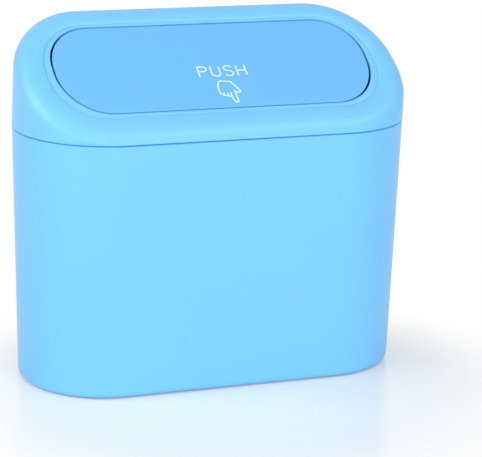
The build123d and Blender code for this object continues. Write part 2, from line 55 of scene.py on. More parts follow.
# %% Sizes
CAN_LENGTH = 185.0
CAN_DEPTH = 83.3
SEAM_HEIGHT = 117.2
WALL_DRAFT = 2.4
BUCKET_WALL = 2.0
BUCKET_FLOOR = 2.4
BASE_ROUNDING = 3.0
SEAM_BEVEL = 0.2
SEAM_GAP = 0.3
SEAM_REACH = 1.6
END_FULLNESS = 0.985
RIM_FULLNESS = 0.94
TILT = math.radians(33.0)
FRAME_HEIGHT = 47.0
LID_DROP = 18.25
FRAME_WALL = 1.8
RIM_BACK_RADIUS = 7.2
RIM_BACK_INSET = 2.6
RIM_END_RADIUS = 7.8
RIM_END_INSET = 0.85
RIM_END_TURN = 130.0
FRONT_BULGE = 25.0
FRONT_FIRST_STEP = 0.06
LEDGE_FRONT = 2.3
LEDGE_BACK = 2.0
PLUG_DEPTH = 7.0
PLUG_WALL = 1.2
PLUG_CLEARANCE = 0.4
PLUG_FLANGE = 1.5
PLUG_BEVEL = 0.3
FLOOR_CORNER = 2.0
SINK = 0.1
LIP_WALL = 1.4
LIP_DEPTH = 4.6
FLAP_LENGTH = 149.6
FLAP_CROSS_RIB = 15.0
FLAP_DEPTH = 45.5
FLAP_CENTRE = -3.55
FLAP_FRONT_CORNER = 22.4
FLAP_BACK_CORNER = 19.9
FLAP_THICKNESS = 1.8
FLAP_GAP = 0.65
FLAP_END_GAP = 0.95
FLAP_RIB = 1.2
FLAP_RIB_DEPTH = 2.2
FLAP_RIB_INSET = 3.6
FLAP_PRESS = math.radians(3.0)
HINGE_SETBACK = 22.0
HINGE_DROP = 4.6
LATCH_SETBACK = 8.8
rim_top_height = SEAM_HEIGHT + FRAME_HEIGHT
lid_height = rim_top_height - LID_DROP
flap_front = (FLAP_CENTRE - FLAP_DEPTH / 2) / math.cos(TILT)
flap_back = (FLAP_CENTRE + FLAP_DEPTH / 2) / math.cos(TILT)
flap_middle = (flap_front + flap_back) / 2
hinge_v = flap_back - HINGE_SETBACK
latch_v = flap_front + LATCH_SETBACK
LID = Matrix.Translation((0, 0, lid_height)) @ Matrix.Rotation(TILT, 4, "X")
print("flap runs from", round(flap_front, 1), "to", round(flap_back, 1), "along the slope")

# %% [markdown]
# ## Mesh helpers
# A moulded shell is easiest to make as a stack of closed loops with the same number of points,
# joined by quads. Smooth shading is kept across gentle bends and broken at sharp ones, and every
# finished mesh is in metres with its object at the origin.

# %% Mesh helpers
CORNER_STEPS = 28
ROD_SEGMENTS = 40
ROD_CHAMFER = 0.12
SHARP_ANGLE = math.radians(38)


def rounded(length, depth, front_corner, back_corner, stretch=1.0, at=0.0):
    """Points of a flat rounded outline, counter-clockwise, starting at the front right corner."""
    hx = length / 2
    hy = depth / 2
    corners = []
    for radius, sx, sy, start in ((front_corner, 1, -1, 270), (back_corner, 1, 1, 0),
                                  (back_corner, -1, 1, 90), (front_corner, -1, -1, 180)):
        size = min(radius, hx, hy / stretch)
        for step in range(CORNER_STEPS + 1):
            angle = math.radians(start + 90 * step / CORNER_STEPS)
            x = sx * (hx - size) + size * math.cos(angle)
            y = sy * (hy - size * stretch) + size * stretch * math.sin(angle)
            corners.append((x, at + y))
    return corners


def level_loop(inset, z):
    """The can's outline at the seam, taken in all round, at a height."""
    depth = CAN_DEPTH - 2 * inset
    corner = depth / 2 * END_FULLNESS
    return [Vector((x, y, z)) for x, y in rounded(CAN_LENGTH - 2 * inset, depth, corner, corner)]


def slope_outline(grow_ends, grow):
    """The flap's outline, grown, as points along the slope."""
    stretch = 1 / math.cos(TILT)
    return rounded(FLAP_LENGTH + 2 * grow_ends, (FLAP_DEPTH + 2 * grow) * stretch,
                   FLAP_FRONT_CORNER + grow, FLAP_BACK_CORNER + grow, stretch, flap_middle)


def slope_loop(grow_ends, grow, w):
    """The same outline in space, at a height above the flap's surface."""
    return [LID @ Vector((x, v, w)) for x, v in slope_outline(grow_ends, grow)]


def stack_loops(bm, loops, closed=False, cap_first=False, cap_last=False):
    """Joins closed loops with quads. With closed, the last loop joins the first."""
    rings = [[bm.verts.new(point) for point in loop] for loop in loops]
    pairs = list(zip(rings, rings[1:]))
    if closed:
        pairs.append((rings[-1], rings[0]))
    for low, high in pairs:
        count = len(low)
        for i in range(count):
            j = (i + 1) % count
            bm.faces.new((low[i], low[j], high[j], high[i]))
    if cap_first:
        bm.faces.new(list(reversed(rings[0])))
    if cap_last:
        bm.faces.new(rings[-1])


def add_box(bm, x0, x1, v0, v1, w0, w1):
    """A closed box in the lid's own directions."""
    for vert in bmesh.ops.create_cube(bm, size=1.0)["verts"]:
        vert.co = LID @ Vector(((x0 + x1) / 2 + vert.co.x * (x1 - x0),
                                (v0 + v1) / 2 + vert.co.y * (v1 - v0),
                                (w0 + w1) / 2 + vert.co.z * (w1 - w0)))


def add_tube(bm, start, end, radius, bore):
    """A tube with softened ends between two points in the lid's own directions."""
    a = LID @ Vector(start)
    b = LID @ Vector(end)
    length = (b - a).length
    turn = (b - a).to_track_quat("Z", "Y").to_matrix().to_4x4()
    angles = [2 * math.pi * i / ROD_SEGMENTS for i in range(ROD_SEGMENTS)]
    rings = ((radius - ROD_CHAMFER, 0.0), (radius, ROD_CHAMFER), (radius, length - ROD_CHAMFER),
             (radius - ROD_CHAMFER, length), (bore, length), (bore, 0.0))
    stack_loops(bm, [[a + turn @ Vector((size * math.cos(angle), size * math.sin(angle), along))
                      for angle in angles] for size, along in rings], closed=True)


def finish_mesh(bm, name, material):
    """Turns a bmesh in millimetres into an object in metres, smooth but for its sharp edges."""
    bmesh.ops.remove_doubles(bm, verts=bm.verts, dist=0.0005)
    bmesh.ops.dissolve_degenerate(bm, edges=bm.edges, dist=0.0005)
    bmesh.ops.recalc_face_normals(bm, faces=bm.faces)
    bmesh.ops.scale(bm, vec=(MM, MM, MM), verts=bm.verts)
    for face in bm.faces:
        face.smooth = True
    for edge in bm.edges:
        edge.smooth = edge.is_manifold and edge.calc_face_angle(0.0) < SHARP_ANGLE
    mesh = bpy.data.meshes.new(name)
    bm.to_mesh(mesh)
    bm.free()
    mesh.materials.append(material)
    piece = bpy.data.objects.new(name, mesh)
    bpy.context.collection.objects.link(piece)
    print(name, len(mesh.polygons), "faces")
    return piece


# %% [markdown]
# ## Finishes
# The blue is polypropylene with a fine satin texture from the mould. It has a broad soft highlight
# and lets a little light into the surface. A very fine bump stands for the mould's texture, and a
# slow change of roughness for handling. The hidden parts are acetal, rubber and steel.

# %% Finishes
BLUE = (0.178, 0.545, 0.93)
# The flap's blue below is the body's blue made darker: painted shade for the flap's upward face,
# which the front lamps light less.
FLAP_SHADED_BLUE = (0.143, 0.462, 0.86)
MARK_BLUE = (0.70, 0.91, 1.0)
ACETAL_WHITE = (0.78, 0.78, 0.75)
ACETAL_GREY = (0.42, 0.44, 0.46)
RUBBER_BLACK = (0.018, 0.018, 0.02)
BUMP_STRENGTH = 0.6
DRIFT_SCALE = 22.0
SHADE_DRIFT = 0.015
PLASTIC_IOR = 1.49
PLASTIC_SHEEN = 0.4
SOFT_DEPTH = 0.002
SOFT_RADIUS = (0.4, 0.8, 1.0)
STREAK_SCALE = (40.0, 3000.0, 3000.0)
STREAK_SPREAD = 0.08


def plastic(name, colour, roughness, grain_height, grain_scale=9000.0, soft=0.05, spread=0.03):
    """A moulded plastic with a fine grain, and a slow drift in roughness and shade."""
    material = bpy.data.materials.new(name)
    material.use_nodes = True
    nodes = material.node_tree.nodes
    links = material.node_tree.links
    shader = nodes["Principled BSDF"]
    where = nodes.new("ShaderNodeTexCoord")
    grain = nodes.new("ShaderNodeTexNoise")
    grain.inputs["Scale"].default_value = grain_scale
    grain.inputs["Detail"].default_value = 2.0
    links.new(where.outputs["Object"], grain.inputs["Vector"])
    bump = nodes.new("ShaderNodeBump")
    bump.inputs["Distance"].default_value = grain_height
    bump.inputs["Strength"].default_value = BUMP_STRENGTH
    links.new(grain.outputs["Fac"], bump.inputs["Height"])
    links.new(bump.outputs["Normal"], shader.inputs["Normal"])
    drift = nodes.new("ShaderNodeTexNoise")
    drift.inputs["Scale"].default_value = DRIFT_SCALE
    drift.inputs["Detail"].default_value = 3.0
    links.new(where.outputs["Object"], drift.inputs["Vector"])
    rough = nodes.new("ShaderNodeMapRange")
    rough.inputs["To Min"].default_value = roughness - spread
    rough.inputs["To Max"].default_value = roughness + spread
    links.new(drift.outputs["Fac"], rough.inputs["Value"])
    links.new(rough.outputs["Result"], shader.inputs["Roughness"])
    shade = nodes.new("ShaderNodeMapRange")
    shade.inputs["To Min"].default_value = 1 - SHADE_DRIFT
    shade.inputs["To Max"].default_value = 1 + SHADE_DRIFT
    links.new(drift.outputs["Fac"], shade.inputs["Value"])
    tint = nodes.new("ShaderNodeVectorMath")
    tint.operation = "SCALE"
    tint.inputs[0].default_value = colour
    links.new(shade.outputs["Result"], tint.inputs["Scale"])
    links.new(tint.outputs["Vector"], shader.inputs["Base Color"])
    shader.inputs["Subsurface Weight"].default_value = soft
    shader.inputs["Subsurface Scale"].default_value = SOFT_DEPTH
    shader.inputs["Subsurface Radius"].default_value = SOFT_RADIUS
    shader.inputs["IOR"].default_value = PLASTIC_IOR
    shader.inputs["Specular IOR Level"].default_value = PLASTIC_SHEEN
    return material


def steel(name, colour, roughness):
    """Drawn or plated steel with fine streaks along X."""
    material = bpy.data.materials.new(name)
    material.use_nodes = True
    nodes = material.node_tree.nodes
    links = material.node_tree.links
    shader = nodes["Principled BSDF"]
    shader.inputs["Metallic"].default_value = 1.0
    shader.inputs["Base Color"].default_value = (*colour, 1)
    where = nodes.new("ShaderNodeTexCoord")
    place = nodes.new("ShaderNodeMapping")
    place.inputs["Scale"].default_value = STREAK_SCALE
    streaks = nodes.new("ShaderNodeTexNoise")
    streaks.inputs["Scale"].default_value = 1.0
    streaks.inputs["Detail"].default_value = 3.0
    rough = nodes.new("ShaderNodeMapRange")
    rough.inputs["To Min"].default_value = roughness - STREAK_SPREAD
    rough.inputs["To Max"].default_value = roughness + STREAK_SPREAD
    links.new(where.outputs["Object"], place.inputs["Vector"])
    links.new(place.outputs["Vector"], streaks.inputs["Vector"])
    links.new(streaks.outputs["Fac"], rough.inputs["Value"])
    links.new(rough.outputs["Result"], shader.inputs["Roughness"])
    return material


body_plastic = plastic("body_plastic", BLUE, 0.36, 0.000012)
# The flap's material is the body's plastic with a darker blue, as painted shade on its upward face.
flap_plastic = plastic("flap_plastic", FLAP_SHADED_BLUE, 0.40, 0.000014)
latch_plastic = plastic("latch_plastic", ACETAL_WHITE, 0.38, 0.000008)
slider_plastic = plastic("slider_plastic", ACETAL_GREY, 0.34, 0.000008)
bumper_rubber = plastic("bumper_rubber", RUBBER_BLACK, 0.72, 0.00003, 3500.0, 0.0, 0.06)
mark_ink = plastic("mark_ink", MARK_BLUE, 0.42, 0.000004)
pin_steel = steel("pin_steel", (0.62, 0.63, 0.64), 0.26)
spring_steel = steel("spring_steel", (0.48, 0.49, 0.51), 0.32)
print("finishes", len(bpy.data.materials))

# %% [markdown]
# ## Node tree helper
# Repeated pieces and the bucket are made with Geometry Nodes. This helper opens a tree with named
# inputs, and `run_tree` sets them by their identifiers, evaluates the result and turns it into a
# plain mesh in its place.

# %% Node tree helper
class Tree:
    """A geometry node tree under construction."""

    def __init__(self, name, sizes):
        self.group = bpy.data.node_groups.new(name, "GeometryNodeTree")
        self.group.interface.new_socket("Geometry", in_out="OUTPUT",
                                        socket_type="NodeSocketGeometry")
        self.keys = {}
        for label, value in sizes.items():
            kind = "NodeSocketInt" if isinstance(value, int) else "NodeSocketFloat"
            socket = self.group.interface.new_socket(label, in_out="INPUT", socket_type=kind)
            socket.default_value = value
            self.keys[label] = socket.identifier
        self.sizes = sizes
        self.source = self.group.nodes.new("NodeGroupInput")

    def size(self, label):
        return self.source.outputs[label]

    def add(self, kind, settings=None, **values):
        """Adds a node. Values go to its inputs by name, with _ for a space, or by number as in0."""
        made = self.group.nodes.new(kind)
        for key, value in (settings or {}).items():
            setattr(made, key, value)
        for key, value in values.items():
            by_number = key.startswith("in") and key[2:].isdigit()
            socket = made.inputs[int(key[2:]) if by_number else key.replace("_", " ")]
            if isinstance(value, bpy.types.NodeSocket):
                self.group.links.new(value, socket)
            else:
                socket.default_value = value
        return made

    def math(self, operation, a, b=0.0):
        return self.add("ShaderNodeMath", {"operation": operation}, in0=a, in1=b).outputs[0]

    def join(self, *pieces):
        made = self.group.nodes.new("GeometryNodeJoinGeometry")
        for piece in reversed(pieces):
            self.group.links.new(piece, made.inputs[0])
        return made.outputs[0]

    def finish(self, geometry, material):
        """Realizes instances, sets the material and closes the tree."""
        real = self.add("GeometryNodeRealizeInstances", Geometry=geometry).outputs[0]
        done = self.add("GeometryNodeSetMaterial", Geometry=real, Material=material).outputs[0]
        end = self.group.nodes.new("NodeGroupOutput")
        self.group.links.new(done, end.inputs[0])


def run_tree(tree, name, place=Matrix()):
    """Evaluates a tree on an empty mesh and returns the finished piece."""
    host = bpy.data.objects.new(name + "_host", bpy.data.meshes.new(name + "_host"))
    bpy.context.collection.objects.link(host)
    modifier = host.modifiers.new(name, "NODES")
    modifier.node_group = tree.group
    for label, value in tree.sizes.items():
        modifier[tree.keys[label]] = value
    graph = bpy.context.evaluated_depsgraph_get()
    mesh = bpy.data.meshes.new_from_object(host.evaluated_get(graph))
    host.modifiers.remove(modifier)
    bpy.data.objects.remove(host)
    bm = bmesh.new()
    bm.from_mesh(mesh)
    bm.transform(place)
    return finish_mesh(bm, name, mesh.materials[0])


# %% [markdown]
# ## Bucket
# The bucket is an oval with straight long sides, drafted so that it leaves its mould. One flat oval
# is extruded up and widened, stepped in by the wall and pushed down again. Moving a point outwards
# is the same sum everywhere: on the straights it goes along Y, and on the ends away from the end's
# centre. The base's rounding is built from small steps, and every step is worked out inside the
# tree from its named inputs.

# %% Bucket
BUCKET_SEGMENTS = 64
BASE_STEPS = 6


def outward(tree, half_straight):
    """A unit vector that points out of the oval at each point."""
    spot = tree.add("GeometryNodeInputPosition").outputs[0]
    parts = tree.add("ShaderNodeSeparateXYZ", in0=spot)
    past = tree.math("SUBTRACT", tree.math("ABSOLUTE", parts.outputs[0]), half_straight)
    beyond = tree.math("MAXIMUM", past, 0.0)
    side = tree.math("MULTIPLY", beyond, tree.math("SIGN", parts.outputs[0]))
    flat = tree.add("ShaderNodeCombineXYZ", in0=side, in1=parts.outputs[1]).outputs[0]
    return tree.add("ShaderNodeVectorMath", {"operation": "NORMALIZE"}, in0=flat).outputs[0]


def move_ring(tree, mesh, ring, way, outwards, upwards):
    """Moves the points of one ring out by one amount and up by another."""
    out = tree.add("ShaderNodeVectorMath", {"operation": "SCALE"}, in0=way, Scale=outwards)
    up = tree.add("ShaderNodeCombineXYZ", in2=upwards)
    both = tree.add("ShaderNodeVectorMath", {"operation": "ADD"}, in0=out.outputs[0],
                    in1=up.outputs[0])
    moved = tree.add("GeometryNodeSetPosition", Geometry=mesh, Selection=ring,
                     Offset=both.outputs[0])
    return moved.outputs[0]


def bucket_steps(tree):
    """How far each ring lies outside and above the last one, up the outside and down the inside."""
    rounding = tree.size("Rounding")
    bevel = tree.size("Bevel")
    gap = tree.size("Seam gap")
    reach = tree.size("Seam reach")
    corner = tree.size("Inside corner")
    lean = tree.math("DIVIDE", tree.size("Draft"), tree.size("Height"))
    steps = []
    for i in range(BASE_STEPS):
        before = math.pi / 2 * i / BASE_STEPS
        after = math.pi / 2 * (i + 1) / BASE_STEPS
        steps.append((tree.math("MULTIPLY", rounding, math.sin(after) - math.sin(before)),
                      tree.math("MULTIPLY", rounding, math.cos(before) - math.cos(after))))
    wall = tree.size("Height")
    for taken in (rounding, bevel, gap):
        wall = tree.math("SUBTRACT", wall, taken)
    steps.append((tree.math("MULTIPLY", lean, wall), wall))
    steps.append((tree.math("MULTIPLY", bevel, -1.0), bevel))
    steps.append((tree.math("SUBTRACT", bevel, reach), gap))
    steps.append((tree.math("SUBTRACT", reach, tree.size("Wall")), 0.0))
    inside = tree.math("SUBTRACT", tree.size("Height"), tree.size("Floor"))
    down = tree.math("SUBTRACT", corner, inside)
    steps.append((tree.math("MULTIPLY", lean, down), down))
    back = tree.math("MULTIPLY", corner, -1.0)
    steps.append((back, back))
    return steps


def make_bucket():
    tree = Tree("bucket", {
        "Base length": CAN_LENGTH - 2 * WALL_DRAFT, "Base depth": CAN_DEPTH - 2 * WALL_DRAFT,
        "Height": SEAM_HEIGHT, "Draft": WALL_DRAFT, "Wall": BUCKET_WALL, "Floor": BUCKET_FLOOR,
        "Rounding": BASE_ROUNDING, "Bevel": SEAM_BEVEL, "Seam gap": SEAM_GAP,
        "Seam reach": SEAM_REACH, "Inside corner": FLOOR_CORNER, "Fullness": END_FULLNESS})
    radius = tree.math("MULTIPLY", tree.size("Base depth"), 0.5)
    straight = tree.math("SUBTRACT", tree.math("MULTIPLY", tree.size("Base length"), 0.5), radius)
    shape = tree.add("GeometryNodeCurvePrimitiveQuadrilateral", Width=tree.size("Base length"),
                     Height=tree.size("Base depth")).outputs[0]
    corner = tree.math("MULTIPLY", radius, tree.size("Fullness"))
    fillet = tree.add("GeometryNodeFilletCurve", Curve=shape, Radius=corner, Limit_Radius=True)
    fillet.mode = "POLY"
    fillet.inputs["Count"].default_value = BUCKET_SEGMENTS
    oval = tree.add("GeometryNodeFillCurve", {"mode": "NGONS"}, Curve=fillet.outputs[0])
    # The base is first drawn in by its rounding, which the first steps then build.
    way = outward(tree, straight)
    drawn_in = tree.math("MULTIPLY", tree.size("Rounding"), -1.0)
    mesh = move_ring(tree, oval.outputs[0], True, way, drawn_in, 0.0)
    top = True
    for outwards, upwards in bucket_steps(tree):
        grown = tree.add("GeometryNodeExtrudeMesh", {"mode": "FACES"}, Mesh=mesh, Selection=top,
                         Offset_Scale=0.0, Individual=False)
        top = grown.outputs["Top"]
        mesh = move_ring(tree, grown.outputs[0], top, way, outwards, upwards)
    smooth = tree.add("GeometryNodeSetShadeSmooth", Geometry=mesh).outputs[0]
    tree.finish(smooth, body_plastic)
    return run_tree(tree, "bucket_shell")


bucket = make_bucket()
reach = [max(vert.co[i] for vert in bucket.data.vertices) / MM for i in range(3)]
print("bucket reaches", [round(size, 2) for size in reach], "mm")
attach(bucket, "bucket")
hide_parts("bucket")

# %% [markdown]
# ## Lid frame
# The frame is one moulding. Its outside rises from the oval seam, rolls over and comes down to a
# flat ledge round the flap. At the front it is a single low bulge, at the back a tall wall with a
# tight roll. Each section is an oval on a slope of its own, set by where the front and back curves
# have got to. The inside is the same form taken in by the wall.

# %% Lid frame sections
RIM_STEPS = 30
CREASE_DEPTH = 0.45
CREASE_SHARE = 0.3


def lid_surface(y):
    return lid_height + y * math.tan(TILT)


def front_point(share, inset):
    """Front face of the frame, from the seam to the ledge, as one arc."""
    start = (-CAN_DEPTH / 2, SEAM_HEIGHT)
    ledge_y = FLAP_CENTRE - FLAP_DEPTH / 2 - LEDGE_FRONT
    end = (ledge_y, lid_surface(ledge_y))
    rise = math.atan2(end[1] - start[1], end[0] - start[0])
    bulge = math.radians(FRONT_BULGE)
    radius = math.dist(start, end) / 2 / math.sin(bulge)
    centre_y = start[0] + radius * math.sin(rise + bulge)
    centre_z = start[1] - radius * math.cos(rise + bulge)
    angle = rise + bulge - 2 * bulge * share
    size = radius - inset
    return (centre_y - size * math.sin(angle), centre_z + size * math.cos(angle))


def back_point(share, inset):
    """Back of the rim, from the top of the wall over the roll to the ledge."""
    roll = (CAN_DEPTH / 2 - RIM_BACK_INSET - RIM_BACK_RADIUS, rim_top_height - RIM_BACK_RADIUS)
    ledge_y = FLAP_CENTRE + FLAP_DEPTH / 2 + LEDGE_BACK
    run = roll[0] - ledge_y
    drop = rim_top_height - lid_surface(ledge_y)
    turn = 2 * math.atan2(drop, run)
    crown = math.hypot(run, drop) / 2 / math.sin(turn / 2)
    roll_length = RIM_BACK_RADIUS * math.pi / 2
    along = share * (roll_length + crown * turn)
    if along <= roll_length:
        angle = along / RIM_BACK_RADIUS
        size = RIM_BACK_RADIUS - inset
        return (roll[0] + size * math.cos(angle), roll[1] + size * math.sin(angle))
    angle = (along - roll_length) / crown
    size = crown - inset
    return (roll[0] - size * math.sin(angle), rim_top_height - crown + size * math.cos(angle))


def end_reach(share, inset):
    """How far the rim reaches along X at its ends."""
    centre = CAN_LENGTH / 2 - RIM_END_INSET - RIM_END_RADIUS
    return centre + (RIM_END_RADIUS - inset) * math.cos(math.radians(RIM_END_TURN * share))


def rim_loop(share, inset=0.0):
    """One closed section of the rim."""
    front = front_point(FRONT_FIRST_STEP + (1 - FRONT_FIRST_STEP) * share, inset)
    back = back_point(share, inset)
    half = (back[0] - front[0]) / 2
    middle = (back[0] + front[0]) / 2
    slope = (back[1] - front[1]) / (back[0] - front[0])
    corner = half * RIM_FULLNESS
    flat = rounded(2 * end_reach(share, inset), 2 * half, corner, corner)
    return [Vector((x, y + middle, (front[1] + back[1]) / 2 + y * slope)) for x, y in flat]


# %% [markdown]
# The frame is one closed ring of sections: in from the seam, up the outside, over the rim, down
# into a crease, across the ledge, down the flap's opening, back along the inside, and round the
# plug skirt. The fittings under the top are closed pieces in the same mesh, let into it by `SINK`.

# %% Lid frame
EDGE = 0.15
MOUTH_TURNS = (0, math.pi / 6, math.pi / 3, math.pi / 2)
INSIDE_SHARES = (0.98, 0.85, 0.7, 0.55, 0.4, 0.25, 0.1, 0)
SHOULDER_ROOM = 0.4


def make_frame():
    bm = bmesh.new()
    gap = BUCKET_WALL + PLUG_CLEARANCE
    inner_gap = gap + PLUG_WALL
    low = SEAM_HEIGHT - PLUG_DEPTH
    shoulder = SEAM_HEIGHT + PLUG_FLANGE
    outside = [level_loop(SEAM_REACH, SEAM_HEIGHT), level_loop(SEAM_BEVEL, SEAM_HEIGHT + SEAM_GAP),
               level_loop(0, SEAM_HEIGHT + SEAM_GAP + SEAM_BEVEL)]
    rim = [rim_loop(step / RIM_STEPS) for step in range(RIM_STEPS + 1)]
    ledge = slope_loop(FLAP_END_GAP + EDGE, FLAP_GAP + EDGE, 0)
    foot = rim.pop()
    down = LID.to_3x3() @ Vector((0, 0, -CREASE_DEPTH))
    rim.append([point + down for point in foot])
    rim.append([p.lerp(q, CREASE_SHARE) for p, q in zip(foot, ledge)])
    mouth = []
    for turn in MOUTH_TURNS:
        grow = EDGE * (1 - math.sin(turn))
        mouth.append(slope_loop(FLAP_END_GAP + grow, FLAP_GAP + grow, -EDGE * (1 - math.cos(turn))))
    mouth.append(slope_loop(FLAP_END_GAP, FLAP_GAP, -FRAME_WALL))
    inside = [rim_loop(share, FRAME_WALL) for share in INSIDE_SHARES]
    under = LID.inverted()
    for loop in inside:
        for point in loop:
            local = under @ point
            local.z = min(local.z, -FRAME_WALL)
            point[:] = LID @ local
    for point in inside[-1]:
        point.z = max(point.z, shoulder + SHOULDER_ROOM)
    seat = level_loop(FRAME_WALL, shoulder)
    plug = [level_loop(inner_gap, shoulder), level_loop(inner_gap, low + PLUG_BEVEL),
            level_loop(inner_gap - PLUG_BEVEL, low), level_loop(gap + PLUG_BEVEL, low),
            level_loop(gap, low + 2 * PLUG_BEVEL), level_loop(gap, SEAM_HEIGHT)]
    stack_loops(bm, outside + rim + mouth + inside + [seat] + plug, closed=True)
    add_frame_fittings(bm)
    return finish_mesh(bm, "lid_frame_shell", body_plastic)


def add_frame_fittings(bm):
    """Lip, latch shelf, bumper shelves and hinge lugs under the frame's top."""
    top = -FRAME_WALL + SINK
    lip_front = front_half(slope_outline(FLAP_END_GAP, FLAP_GAP))
    lip_back = front_half(slope_outline(FLAP_END_GAP + LIP_WALL,
                                        FLAP_GAP + LIP_WALL * math.cos(TILT)))
    add_wall(bm, lip_front, lip_back, -FRAME_WALL - LIP_DEPTH, top)
    lip_v = flap_front - FLAP_GAP / math.cos(TILT)
    lip_far = lip_v - LIP_WALL
    half = HOUSING_FLANGE_LENGTH / 2
    shelf_back = latch_v + SLIDER_DEPTH / 2 + HOUSING_WALL + SHELF_MARGIN
    shelf_low = -SHELF_DEPTH - SHELF_THICKNESS
    slot_x = SLIDER_WIDTH / 2 + SLOT_PLAY
    slot_v = SLIDER_DEPTH / 2 + SLOT_PLAY
    for x0, x1, v0, v1, high in ((-half, -slot_x, lip_far, shelf_back, -SHELF_DEPTH),
                                 (slot_x, half, lip_far, shelf_back, -SHELF_DEPTH),
                                 (-slot_x, slot_x, lip_far, latch_v - slot_v, -SHELF_DEPTH),
                                 (-slot_x, slot_x, latch_v + slot_v, shelf_back, -SHELF_DEPTH),
                                 (-half, half, lip_far, lip_v, top)):
        add_box(bm, x0, x1, v0, v1, shelf_low, high)
    for side in (-1, 1):
        x0 = side * BUMPER_SPACING / 2 - BUMPER_LENGTH / 2
        x1 = x0 + BUMPER_LENGTH
        under = bumper_low - BUMPER_SHELF
        add_box(bm, x0, x1, lip_far, bumper_v + BUMPER_DEPTH / 2, under, bumper_low)
        add_box(bm, x0, x1, lip_far, lip_v, under, top)
        add_tube(bm, (side * lug_inner, hinge_v, -HINGE_DROP),
                 (side * lug_outer, hinge_v, -HINGE_DROP), LUG_RADIUS, PIN_RADIUS)
        web = sorted((side * (lug_outer - LUG_WEB), side * lug_outer))
        add_box(bm, web[0], web[1], hinge_v - LUG_RADIUS, hinge_v + LUG_RADIUS,
                -HINGE_DROP + LUG_RADIUS / 2, top)


def front_half(points):
    """The front part of a flap outline, from its left end round to its right end."""
    return points[3 * (CORNER_STEPS + 1):] + points[:CORNER_STEPS + 1]


def add_wall(bm, near, far, w0, w1):
    """A closed wall that follows two open rows of points."""
    section = ((near, w0), (far, w0), (far, w1), (near, w1))
    rows = [[bm.verts.new(LID @ Vector((x, v, w))) for x, v in row] for row, w in section]
    for k in range(4):
        a = rows[k]
        b = rows[(k + 1) % 4]
        for i in range(len(a) - 1):
            bm.faces.new((a[i], a[i + 1], b[i + 1], b[i]))
    bm.faces.new([row[0] for row in rows])
    bm.faces.new([row[-1] for row in reversed(rows)])


# %% [markdown]
# The fittings' sizes come next, and then the frame itself is made. The hinge lugs stand outside the
# flap's ends. The latch shelf carries the latch, and two small shelves carry rubber bumpers.

# %% Fittings and frame
PIN_RADIUS = 1.0
EAR_WIDTH = 4.0
EAR_RADIUS = 2.5
LUG_WIDTH = 4.0
LUG_RADIUS = 2.6
LUG_MARGIN = 0.25
LUG_WEB = 2.4
ear_outer = FLAP_LENGTH / 2 - FLAP_RIB_INSET - FLAP_RIB
ear_inner = ear_outer - EAR_WIDTH
lug_inner = FLAP_LENGTH / 2 + FLAP_END_GAP + LUG_MARGIN
lug_outer = lug_inner + LUG_WIDTH
COIL_WIRE = 0.7
COIL_RADIUS = 1.75
COIL_TURNS = 4
COIL_PITCH = 0.95
COIL_LEG = 9.0
COIL_PLAY = 0.05
SLIDER_WIDTH = 9.0
SLIDER_DEPTH = 6.0
HOUSING_WALL = 1.7
HOUSING_FLANGE_LENGTH = 25.0
SHELF_DEPTH = 6.5
SHELF_THICKNESS = 3.0
SHELF_MARGIN = 1.0
SLOT_PLAY = 0.3
BUMPER_SPACING = 90.0
BUMPER_LENGTH = 10.0
BUMPER_DEPTH = 4.0
BUMPER_HEIGHT = 1.6
BUMPER_SHELF = 1.5
BUMPER_ROOM = 0.2
bumper_v = flap_front + FLAP_RIB_INSET + BUMPER_DEPTH / 2
press_drop = (hinge_v - bumper_v + BUMPER_DEPTH / 2) * math.sin(FLAP_PRESS)
bumper_top = -FLAP_THICKNESS - FLAP_RIB_DEPTH - press_drop - BUMPER_ROOM
bumper_low = bumper_top - BUMPER_HEIGHT
lid_frame = make_frame()
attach(lid_frame, "lid")
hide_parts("lid_frame")

# %% [markdown]
# ## Flap
# A flat plate with a rounded edge, stiffened underneath by a rim rib and two cross ribs. Two ears
# behind its middle carry it on the pins.

# %% Flap
FLAP_EDGE_ROUNDING = 0.4
FLAP_EDGE_STEPS = 6
FLAP_TOP_INSET = 6.0
FLAP_UNDER_BEVEL = 0.2
COIL_ROOM = 1.0
EAR_PLAY = 0.05
EAR_WEB_INSET = 0.1
EAR_WEB_RISE = 1.5
STRIKER_FOOT_LENGTH = 17.0
STRIKER_FOOT_DEPTH = 4.0
STRIKER_SEAT = 0.6


def make_flap():
    bm = bmesh.new()
    top = -FLAP_EDGE_ROUNDING - FLAP_TOP_INSET
    loops = [slope_loop(top, top, 0)]
    for step in range(FLAP_EDGE_STEPS + 1):
        angle = math.pi / 2 * step / FLAP_EDGE_STEPS
        inset = FLAP_EDGE_ROUNDING * (1 - math.sin(angle))
        loops.append(slope_loop(-inset, -inset, -FLAP_EDGE_ROUNDING * (1 - math.cos(angle))))
    loops.append(slope_loop(0, 0, -FLAP_THICKNESS + FLAP_UNDER_BEVEL))
    loops.append(slope_loop(-FLAP_UNDER_BEVEL, -FLAP_UNDER_BEVEL, -FLAP_THICKNESS))
    inner = -FLAP_RIB_INSET - FLAP_RIB
    loops.append(slope_loop(inner, inner, -FLAP_THICKNESS))
    stack_loops(bm, loops, cap_first=True, cap_last=True)
    add_rim_rib(bm)
    add_flap_fittings(bm)
    return finish_mesh(bm, "flap_shell", flap_plastic)


